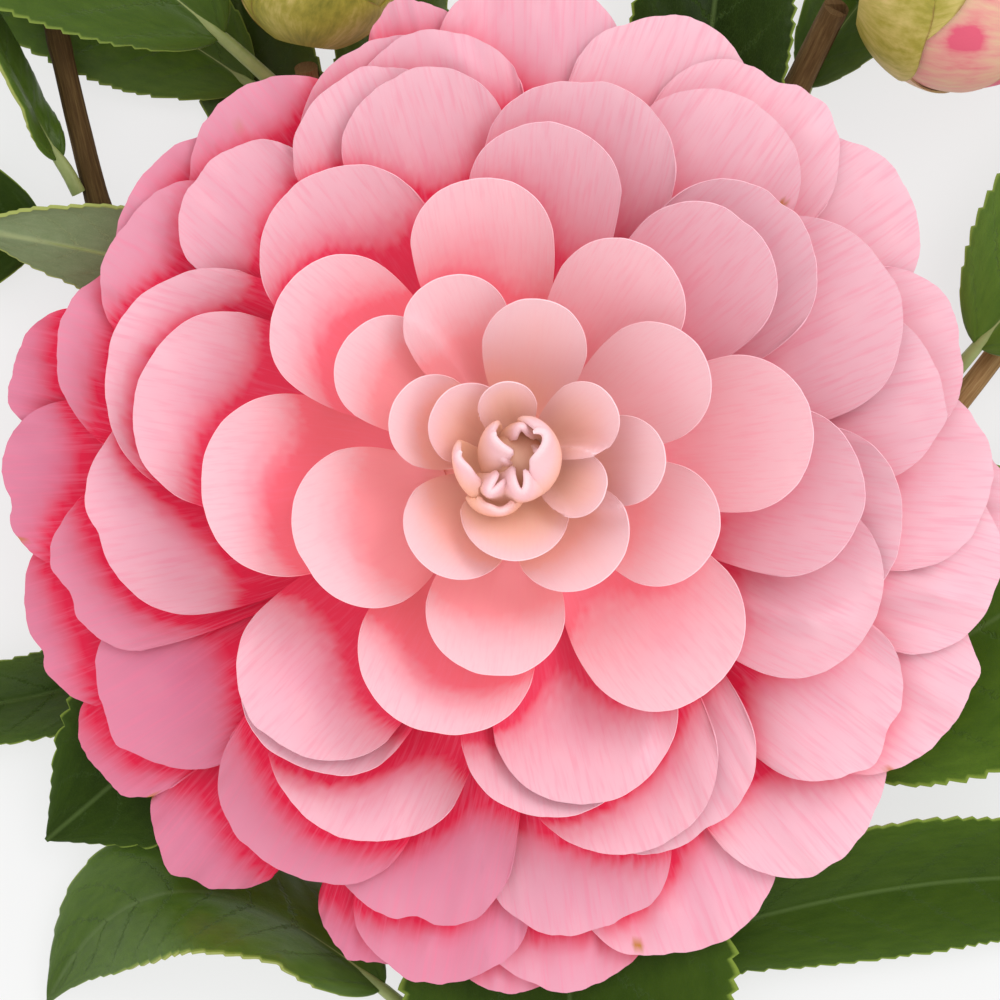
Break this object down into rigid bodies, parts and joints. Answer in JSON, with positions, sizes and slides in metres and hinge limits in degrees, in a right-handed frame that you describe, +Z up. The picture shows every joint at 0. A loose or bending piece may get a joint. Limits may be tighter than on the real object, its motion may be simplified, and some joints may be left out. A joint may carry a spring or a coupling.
{
  "type": "cut camellia sprig",
  "caption": "Cut flowering sprig lying down: one full double bloom facing up, with glossy leaves, closed buds and woody twigs.",
  "frame": {"origin": "middle of the surface that the sprig lies on, under the centre of its bounding box", "axes": "+Z up, the way the bloom faces; +Y from the stem's cut end towards the twig tips; +X to the right with the bloom facing the viewer and the cut end below"},
  "size_m": [0.1738, 0.1734, 0.0494],
  "materials": {
    "petal": "soft matt petal, pink at the foot and paler at the rim, cream pink in the heart",
    "leaf": "glossy dark green blade with a pale midrib and a yellow-green edge",
    "bark": "matt dark brown bark",
    "young_bark": "smooth tan bark of this year's growth",
    "bud": "satin olive and cream scales with a little pink showing",
    "sepal": "satin olive green"
  },
  "bodies": {
    "root": {"bloom": "petal", "calyx": "sepal", "bud_left": "bud", "bud_right": "bud", "main_stem": "bark", "left_twig": "bark", "right_twig": "bark", "bud_shoot": "bark", "low_right_twig": "young_bark", "flower_stalk": "young_bark", "leaf_top_left": "leaf", "leaf_top_left_low": "leaf", "leaf_behind_bud": "leaf", "leaf_by_bud": "leaf", "leaf_left_narrow": "leaf", "leaf_left_dark": "leaf", "leaf_left_pale": "leaf", "leaf_left_low": "leaf", "leaf_serrated": "leaf", "leaf_arched": "leaf", "leaf_bottom": "leaf", "leaf_lower_right": "leaf", "leaf_right": "leaf", "leaf_upper_right": "leaf", "leaf_top": "leaf", "leaf_top_right_low": "leaf"}
  },
  "joints": []
}
